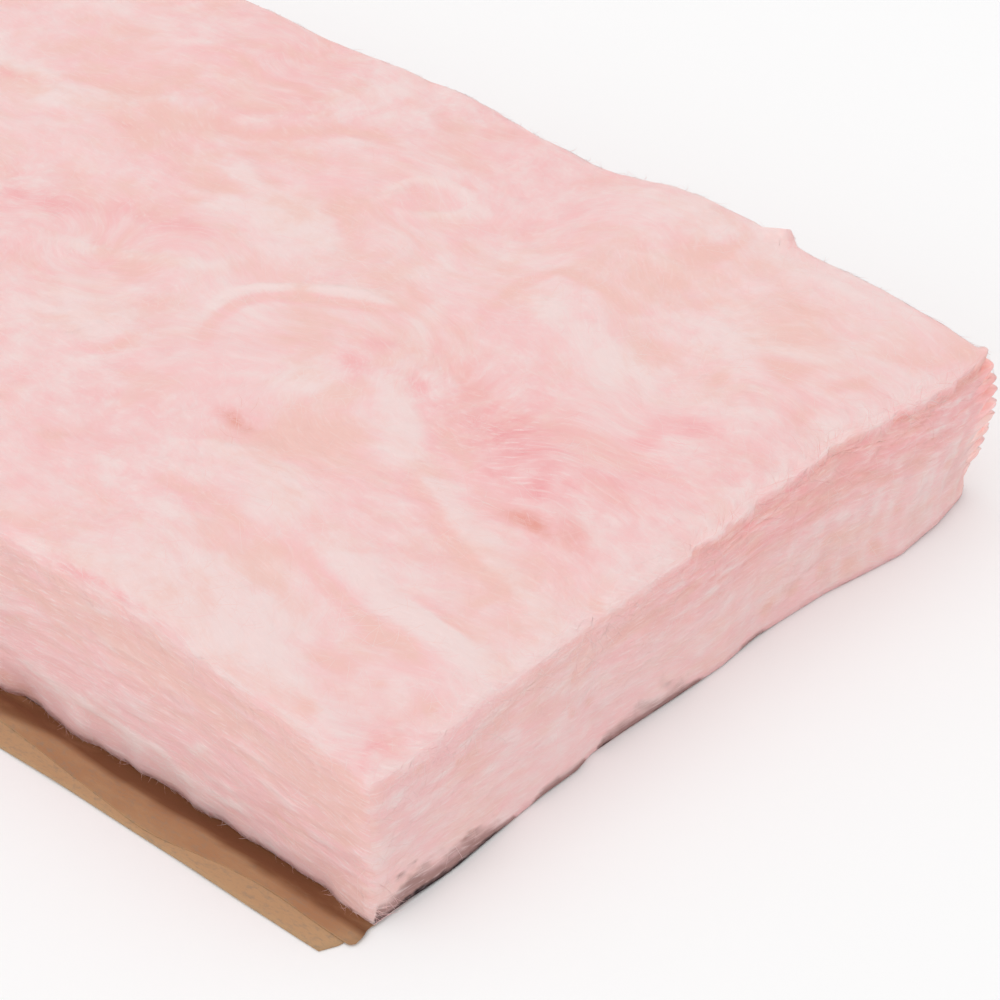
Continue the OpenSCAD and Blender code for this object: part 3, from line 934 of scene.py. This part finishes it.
def layerEnds(block, form):
    # relief and colour of the cut ends: a torn lip over a grooved hollow, then layers, columns and gashes;
    # the hollow and a line under the lip's flaps are painted darker and pinker as shade
    outer = block["outer"]
    drop = block["drop"]
    face = np.stack([np.where(block["front"], 4.0, -4.0), outer[:, 1], outer[:, 2]], axis=1)
    wave = cloud(face, (1, 11, 26), 2, 31.0)
    slant = face + np.stack([0 * drop, 0.008 * wave, 0.05 * outer[:, 1] + 0.006 * wave], axis=1)
    layer = cloud(slant, (1, 34, 130), 3, 35.0)
    column = cloud(face + 0.3 * drop[:, None] * (0, 1, 0), (1, 150, 16), 2, 37.0)
    groove = bellCurve(cloud(slant, (1, 13, 150), 2, 39.0), 0.11)
    columns = (0.2 + smoothStep(0.0, 0.12, outer[:, 1])) * column
    torn = tornEdge(outer[:, 1] + 0.5 * block["front"], form["lipGap"], 5, (0.85,))
    reach = 0.18 + 0.82 * smoothStep(-0.08, 0.06, outer[:, 1])  # the lip is torn deepest at its far half
    rim = 0.002 + 0.009 * torn * reach
    flap = 1 - smoothStep(rim, rim + 0.0010, drop)
    # painted shade: a darker, pinker line just under the lip's flaps
    shade = bellCurve(drop - rim - 0.0018, 0.0022) * reach
    # the hollow under the lip is a real recess; its colour is painted darker and pinker as shade
    hollow = smoothStep(0.0, 0.0015, drop - rim) * (1 - smoothStep(0.018, 0.042, drop))
    gash = np.zeros(len(outer))
    spots = 1000 * outer[:, 1:]
    for width, path in gashes:
        gash += strokeProfile(spots, curvedPath(path), width)
    gash *= block["front"]
    relief = form["endLayers"] * (layer + columns) + 0.0014 * wave
    grooved = hollow * reach * groove
    relief += 0.0003 * flap * reach - 0.0006 * hollow * reach - 0.0007 * grooved - 0.0007 * gash
    relief *= smoothStep(0.0, 0.10, block["up"])
    pale = 0.42 + (0.30 + 0.45 * hollow) * layer + 0.45 * columns + 0.12 * flap - 0.30 * hollow * reach
    pale -= 0.7 * grooved + 0.25 * shade + 0.5 * gash
    warm = 0.26 - 0.5 * wave + (0.30 - 0.4 * layer) * hollow * reach
    warm += 0.3 * shade - 0.3 * flap + 0.7 * gash + 0.4 * grooved
    red = 0.10 * gash + 0.40 * grooved
    onTop = bellCurve(block["behind"], 0.012) * block["top"]
    atLip = np.where(block["end"] > 0.5, bellCurve(drop, 0.006), onTop)
    # the flaps of the lip rise towards the level of the top
    level = form["flapLevel"] * drop * flap * (0.5 + 0.5 * reach)
    level *= bellCurve(block["behind"], 0.014) * smoothStep(0.0, 0.35, block["end"])
    extra = dict(
        # the deep pink here is painted shade under the lip
        blushAndShade=0.7 * hollow * reach + 0.4 * shade,
        strand=0.40 + 0.2 * flap,
        lip=form["lipReach"] * (torn - 0.4) * reach * atLip,
        level=level,
    )
    return relief, pale, warm, red, extra


def smearFoot(block):
    # bond coat squeezed out along the foot of the front cut, blackest in a thin line at the bottom
    outer = block["outer"]
    above = outer[:, 2] - block["foot"]
    face = np.stack([outer[:, 1], outer[:, 2], np.zeros(len(outer))], axis=1)
    ragged = above * (1.0 + 0.6 * cloud(face, (90, 160, 1), 3, 81.0))
    stain = np.zeros(len(outer))
    for strength, smear in footSmears:
        height = 0.001 * np.interp(1000 * outer[:, 1], *np.array(smear).T)
        body = 0.75 * (1 - smoothStep(0.0, 1.45 * height + 1e-5, ragged))
        line = 0.65 * (1 - smoothStep(0.0004, 0.0026, ragged))
        stain = np.maximum(stain, strength * smoothStep(0.0, 0.003, height) * (body + line))
    return stain * block["atCut"]


def combedPlaces(mesh, block, groups, form):
    # a combed place for each face corner, so that wisps follow the swirls and the layers
    outer = block["outer"]
    down = 2.1 * block["drop"]
    plan = np.stack([outer[:, 0], np.sign(outer[:, 1]) * (np.abs(outer[:, 1]) + down)], axis=1)
    flat = np.concatenate([plan, np.zeros((len(plan), 1))], axis=1)
    sway = np.stack([cloud(flat, 14.0, 3, 43.0), cloud(flat, 14.0, 3, 57.0)], axis=1)
    combed = plan + 0.010 * sway
    for swirl in swirls + looseSwirls(form["looseSwirls"]):
        middle = np.array([halfLength - swirl["at"][0], swirl["at"][1]])
        angle = swirl["turn"] * bellCurve(np.linalg.norm(plan - middle, axis=1), swirl["reach"])
        near = np.abs(angle) > 1e-3
        arm = combed[near] - middle
        cosine = np.cos(angle[near])
        sine = np.sin(angle[near])
        turnedX = cosine * arm[:, 0] - sine * arm[:, 1]
        turnedY = sine * arm[:, 0] + cosine * arm[:, 1]
        combed[near] = middle + np.stack([turnedX, turnedY], axis=1)
    around = np.concatenate([combed, np.zeros((len(plan), 1))], axis=1)
    face = np.stack([outer[:, 1], outer[:, 2], np.where(block["front"], 5.0, 9.0)], axis=1)
    wave = cloud(face, (12, 20, 1), 3, 61.0)
    face[:, 1] = 2.0 * (face[:, 1] + 0.05 * face[:, 0] + 0.004 * wave)
    vertexOf = np.empty(len(mesh.loops), int)
    mesh.loops.foreach_get("vertex_index", vertexOf)
    counts = np.empty(len(mesh.polygons), int)
    mesh.polygons.foreach_get("loop_total", counts)
    onEnd = np.repeat(groups == 0, counts)
    corners = np.where(onEnd[:, None], face[vertexOf], around[vertexOf])
    layer = mesh.attributes.new("combed", "FLOAT_VECTOR", "CORNER")
    layer.data.foreach_set("vector", corners.astype(np.float32).ravel())


def makeWool(form):
    mesh = woolBlock(form, panelPath(kraftForm)[0])
    groups = np.argmax(np.abs(readVectors(mesh.polygons, "normal")), axis=1)
    block = roundBlock(readVectors(mesh.vertices, "co"), form)
    outer = block["outer"]
    print("wool block rounded,", len(outer), "points")
    relief, shares = combTop(block, form)
    print("top combed")
    sideRelief, sidePale, sideWarm, sideRed, teeth = layerSides(block, form)
    endRelief, endPale, endWarm, endRed, extra = layerEnds(block, form)
    print("walls layered")
    combedPlaces(mesh, block, groups, form)
    place = outer.copy()
    place[:, 2] += block["top"] * relief + extra["level"]
    place[:, 1] += np.sign(outer[:, 1]) * block["side"] * sideRelief
    place[:, 0] += np.where(block["front"], 1, -1) * (block["end"] * endRelief + extra["lip"])
    place[:, 0] += frontWander(outer[:, 0], outer[:, 1]) * (1 - block["up"])
    notch = np.interp(outer[:, 1], *np.array(lipNotches).T) * bellCurve(block["behind"], 0.02)
    notch *= 1 - smoothStep(0.0, 0.022, block["drop"])
    lean = form["cornerReach"] * smoothStep(0.09, 0.18, outer[:, 1]) * bellCurve(block["behind"], 0.03)
    place[:, 0] += block["front"] * (lean * smoothStep(0.0, 0.7, block["up"]) - notch)
    place[:, :2] += teeth[:, None] * form["toothWay"]
    # the tab on the far top edge rises slowly and ends in a steep step
    tab = np.clip(1 - (block["behind"] - form["tabBehind"]) / form["tabLength"], 0, 1)
    tab *= (block["behind"] > form["tabBehind"]) * block["front"]
    tab *= bellCurve(outer[:, 1] - form["tabAcross"], form["tabWidth"])
    place[:, 2] += form["tabReach"] * tab * smoothStep(0.012, 0.0, block["drop"])
    place[block["footEdge"], 2] -= form["footSink"]
    # the few strips underneath keep well behind the wandering cut
    place[:, 0] -= np.clip(0.012 - 0.2 * block["behind"], 0, None) * block["inside"] * block["front"]
    for tuft in tufts:
        pull = bellCurve(np.linalg.norm(outer - tuft["at"], axis=1), tuft["width"])
        place += pull[:, None] * np.array(tuft["way"])
    mesh.vertices.foreach_set("co", place.ravel())
    top, side, end = block["top"], block["side"], block["end"]
    total = top + side + end + 1e-6
    shares["pale"] = (top * shares["pale"] + side * sidePale + end * endPale) / total
    shares["warm"] = (top * shares["warm"] + side * sideWarm + end * endWarm) / total
    shares["blushAndShade"] = top * shares["blushAndShade"] + end * extra["blushAndShade"] + side * form["sideBlush"]
    shares["ember"] = top * shares["ember"] + side * sideRed + end * endRed
    shares["strand"] = (top * shares["strand"] + side * form["sideStrand"] + end * extra["strand"]) / total
    # the upright edges of the cuts are paler
    nearSide = smoothStep(halfWidth - 0.011, halfWidth - 0.004, np.abs(outer[:, 1]))
    shares["pale"] += 0.30 * bellCurve(block["behind"], 0.006) * nearSide
    keepValues(mesh, stain=smearFoot(block), **shares)
    mesh.update()
    piece = finishPiece("wool_body", mesh, woolStuff, "glass_wool_batt")
    print("wool body done,", sum(len(p.vertices) - 2 for p in mesh.polygons), "triangles")
    return mesh, groups, block


woolMesh, woolGroups, woolShape = makeWool(woolForm)

# loose fibres over the wool

fibreForm = dict(
    rings=4,  # sections of one fibre
    length=(0.010, 0.034), thickness=(0.00010, 0.00022), flatness=0.4,
    scatter=0.003, sink=0.0002, curl=0.28,  # spread and depth of the roots, turn at each section
    floorGap=0.0004,
    paleJitter=(0.05, 0.28),  # mean and spread of how much paler a fibre is than its wool
    nearReach=0.30, midReach=0.56, backReach=0.06,  # fibres are densest close behind the cuts
    midShare=0.35, farShare=0.12,
    # wild is the share of fibres that stand off the wool, and upturn how far these are lit as the top is
    top=dict(
        count=10800, seed=11, lift=0.00012, wild=0.02, wildLift=0.0010, spread=0.9, thick=1.0, upturn=0.0,
    ),
    sides=dict(
        count=9600, seed=12, lift=0.00014, wild=0.04, wildLift=0.0020, spread=0.30, thick=1.0, upturn=0.0,
    ),
    ends=dict(
        count=4200, seed=13, lift=0.00014, wild=0.02, wildLift=0.0012, spread=0.28, thick=1.0, upturn=0.0,
    ),
    edges=dict(
        count=3000, seed=14, lift=0.00060, wild=0.50, wildLift=0.0035, spread=1.2, thick=1.1, upturn=1.2,
    ),
    foot=dict(
        count=2600, seed=15, lift=0.00060, wild=0.85, wildLift=0.0050, spread=1.4, thick=1.3, upturn=0.0,
    ),
)


def fibreTemplate(rings):
    # a thin closed spindle: three sides, a point at each end
    bm = bmesh.new()
    bmesh.ops.create_uvsphere(bm, u_segments=3, v_segments=rings, radius=1.0)
    heights = sorted({round(v.co.z, 4) for v in bm.verts})
    ring = np.array([heights.index(round(v.co.z, 4)) for v in bm.verts])
    angle = np.array([math.atan2(v.co.y, v.co.x) for v in bm.verts])
    faces = [[v.index for v in face.verts] for face in bm.faces]
    bm.free()
    return ring, angle, faces


def growFibre(tree, start, heading, length, curl, lifts):
    # a path that hugs the wool, one point for each ring of the spindle
    points = []
    normals = []
    step = length / (len(lifts) - 1)
    spot = start
    for lift in lifts:
        ground, normal = tree.find_nearest(spot)[:2]
        points.append(ground + normal * lift)
        normals.append(normal)
        heading = (heading - normal * heading.dot(normal)).normalized()
        heading = Matrix.Rotation(curl, 3, normal) @ heading
        spot = ground + heading * step
    return points, normals


def makeFibres(name, form, sort, tree, chosen, first, second):
    # fibres head along the first way, turned towards the second by a random angle
    dice = random.Random(sort["seed"])
    count = sort["count"]
    ring, angle, faces = fibreTemplate(form["rings"])
    stations = form["rings"] + 1
    centres = np.array([p.center for p in woolMesh.polygons])[chosen]
    areas = np.array([p.area for p in woolMesh.polygons])[chosen]
    front = centres[:, 0] > halfLength - form["nearReach"]
    back = centres[:, 0] < form["backReach"] - halfLength
    middle = centres[:, 0] > halfLength - form["midReach"]
    density = np.select([front | back, middle], [1.0, form["midShare"]], form["farShare"])
    weights = np.cumsum(areas * density)
    scatter = form["scatter"]
    firstPoint = np.array([p.vertices[0] for p in woolMesh.polygons])[chosen]
    paths, sides, radii, roots = [], [], [], []
    for _ in range(count):
        pick = int(np.searchsorted(weights, dice.random() * weights[-1]))
        start = Vector(centres[pick]) + Vector([dice.uniform(-scatter, scatter) for _ in range(3)])
        wild = dice.random() < sort["wild"]
        tip = sort["wildLift" if wild else "lift"] * dice.random()
        lower = 0.5 * sort["lift"] * dice.random()
        upper = sort["lift"] * dice.random()
        lifts = [-form["sink"], lower, upper, 0.5 * tip, tip]
        length = dice.uniform(*form["length"]) * (0.5 if wild else 1.0)
        turn = dice.gauss(0.0, sort["spread"])
        heading = first * math.cos(turn) + second * math.sin(turn)
        curl = dice.gauss(0.0, form["curl"])
        points, normals = growFibre(tree, start, heading, length, curl, lifts[:stations])
        paths.append(points)
        sides.append(normals)
        radii.append(sort["thick"] * dice.uniform(*form["thickness"]) / 2)
        roots.append(firstPoint[pick])
    paths = np.array(paths)
    normals = np.array(sides)
    along = np.gradient(paths, axis=1)
    across = np.cross(along, normals)
    across /= np.maximum(np.linalg.norm(across, axis=2), 1e-9)[:, :, None]
    swell = np.array([0.0, 0.8, 1.0, 0.75, 0.0])[:stations]
    reach = np.array(radii)[:, None, None] * swell[None, ring, None]
    flat = form["flatness"] * np.cos(angle)[None, :, None] * normals[:, ring]
    points = paths[:, ring] + reach * (flat + np.sin(angle)[None, :, None] * across[:, ring])
    points[:, :, 2] = np.maximum(points[:, :, 2], form["floorGap"])
    offsets = np.arange(count) * len(ring)
    allFaces = [[index + offset for index in face] for offset in offsets.tolist() for face in faces]
    mesh = bpy.data.meshes.new(name)
    mesh.from_pydata(points.reshape(-1, 3).tolist(), [], allFaces)
    jitter = np.array([dice.gauss(*form["paleJitter"]) for _ in range(count)])
    layers = {}
    for key in ("pale", "warm", "blushAndShade", "ember"):
        values = np.empty(len(woolMesh.vertices))
        woolMesh.attributes[key].data.foreach_get("value", values)
        values = values[roots]
        if key == "pale":
            values = values + jitter
        layers[key] = np.repeat(values, len(ring))
    keepValues(mesh, **layers)
    mesh.update()
    piece = finishPiece(name, mesh, fibreStuff)
    piece.visible_shadow = False  # hairs of glass are too thin and clear to shade the wool
    piece.visible_diffuse = False
    # a fibre is shaded as the wool that it lies on, or more as the top where it stands off an edge
    shading = normals + np.array((0.0, 0.0, sort["upturn"]))
    shading[:, :, 2] = np.maximum(shading[:, :, 2], 0.0)
    shading /= np.maximum(np.linalg.norm(shading, axis=2), 1e-9)[:, :, None]
    mesh.normals_split_custom_set_from_vertices(shading[:, ring].reshape(-1, 3).tolist())
    print(name, "grown,", count, "fibres,", sum(len(f) - 2 for f in faces) * count, "triangles")


def coverWithFibres(form):
    points = [v.co for v in woolMesh.vertices]
    tree = BVHTree.FromPolygons(points, [list(p.vertices) for p in woolMesh.polygons])
    x, y, z = readVectors(woolMesh.polygons, "center").T
    up = readVectors(woolMesh.polygons, "normal")[:, 2] > -0.5
    lengthwise, crosswise, upright = Vector((1, 0, 0)), Vector((0, 1, 0)), Vector((0, 0, 1))
    firstPoint = np.array([p.vertices[0] for p in woolMesh.polygons])
    atLip = (woolShape["behind"] < 0.008) & (woolShape["drop"] < 0.012)
    atFoot = (woolShape["side"] > 0.5) & (woolShape["up"] < 0.10) & (woolShape["up"] > 0.01)
    atShoulder = (woolShape["side"] > 0.3) & (woolShape["drop"] < 0.010)
    atCorner = (woolShape["side"] > 0.3) & (woolShape["behind"] < 0.006)
    edges = (atLip | atShoulder | atCorner)[firstPoint] & up
    smeared = (x > 0) & (y < 0.015) & (z < 0.018)  # no hair lies over the smears of bond coat
    toothed = (x >= halfLength - 0.018) & (y >= halfWidth - 0.020) & (z <= 0.072)  # or bridges the teeth
    sorts = dict(  # the faces that they grow on, their way and the way that they turn to
        top=((woolGroups == 2) & up, lengthwise, crosswise),
        sides=((woolGroups == 1) & ~toothed, lengthwise, upright),
        ends=((woolGroups == 0) & ~smeared & ~toothed, crosswise, upright),
        edges=(edges & ~toothed, lengthwise, crosswise),
        foot=(atFoot[firstPoint] & up & ~toothed, lengthwise, upright),
    )
    for sort, (chosen, first, second) in sorts.items():
        makeFibres("wool_fibres_" + sort, form, form[sort], tree, chosen, first, second)


coverWithFibres(fibreForm)

# stage, light and camera

stage = dict(
    floorSize=60.0, floorColor=(0.94, 0.94, 0.94), worldStrength=0.92,
    floorDrop=0.0003, lightAim=(0.9, 0.0, 0.0),
    softboxes=dict(  # power, size, place
        above=(9.0, 3.0, (0.6, 0.5, 2.6)),
        beside=(16.0, 2.0, (0.7, -4.0, 2.2)),
    ),
)


def makeFloor():
    bm = bmesh.new()
    bmesh.ops.create_grid(bm, x_segments=1, y_segments=1, size=stage["floorSize"] / 2)
    mesh = bpy.data.meshes.new("floor")
    bm.to_mesh(mesh)
    bm.free()
    mesh.transform(Matrix.Translation((0.0, 0.0, -stage["floorDrop"])))
    material, _, _, shader = newMaterial("pale_floor")
    shader.inputs["Base Color"].default_value = (*stage["floorColor"], 1.0)
    shader.inputs["Roughness"].default_value = 0.9
    mesh.materials.append(material)
    floor = bpy.data.objects.new("floor", mesh)
    bpy.context.scene.collection.objects.link(floor)


def makeLight():
    world = bpy.data.worlds.new("studio")
    world.use_nodes = True
    background = world.node_tree.nodes["Background"]
    background.inputs["Color"].default_value = (1.0, 1.0, 1.0, 1.0)
    background.inputs["Strength"].default_value = stage["worldStrength"]
    bpy.context.scene.world = world
    for name, (power, size, seat) in stage["softboxes"].items():
        light = bpy.data.lights.new(name, "AREA")
        light.energy = power
        light.size = size
        lamp = bpy.data.objects.new(name, light)
        lamp.location = seat
        lamp.visible_camera = False
        aim = Vector(stage["lightAim"]) - lamp.location
        lamp.rotation_euler = aim.to_track_quat("-Z", "Y").to_euler()
        bpy.context.scene.collection.objects.link(lamp)


cameraView = dict(
    azimuth=43.65, elevation=35.70, roll=-1.67,
    distance=1.4331, aim=(0.04969, 0.16147), lens=134.86,  # aim is measured from the near front corner
)


def makeCamera():
    view = cameraView
    azimuth, elevation, roll = (math.radians(view[key]) for key in ("azimuth", "elevation", "roll"))
    back = Vector((
        math.sin(azimuth) * math.cos(elevation),
        -math.cos(azimuth) * math.cos(elevation),
        math.sin(elevation),
    ))
    levelRight = Vector((math.cos(azimuth), math.sin(azimuth), 0.0))
    levelUp = back.cross(levelRight)
    right = levelRight * math.cos(roll) + levelUp * math.sin(roll)
    up = levelUp * math.cos(roll) - levelRight * math.sin(roll)
    nearCorner = Vector((halfLength, -halfWidth, 0.0))
    seat = nearCorner + right * view["aim"][0] + up * view["aim"][1] + back * view["distance"]
    camera = bpy.data.cameras.new("camera")
    camera.lens = view["lens"]
    camera.sensor_width = 36.0
    camera.clip_start = 0.05
    camera.clip_end = 50.0
    rig = bpy.data.objects.new("camera", camera)
    rig.matrix_world = Matrix((
        (right.x, up.x, back.x, seat.x),
        (right.y, up.y, back.y, seat.y),
        (right.z, up.z, back.z, seat.z),
        (0.0, 0.0, 0.0, 1.0),
    ))
    bpy.context.scene.collection.objects.link(rig)
    bpy.context.scene.camera = rig


makeFloor()
makeLight()
makeCamera()
bpy.context.scene.view_settings.view_transform = "Standard"
print("stage set")
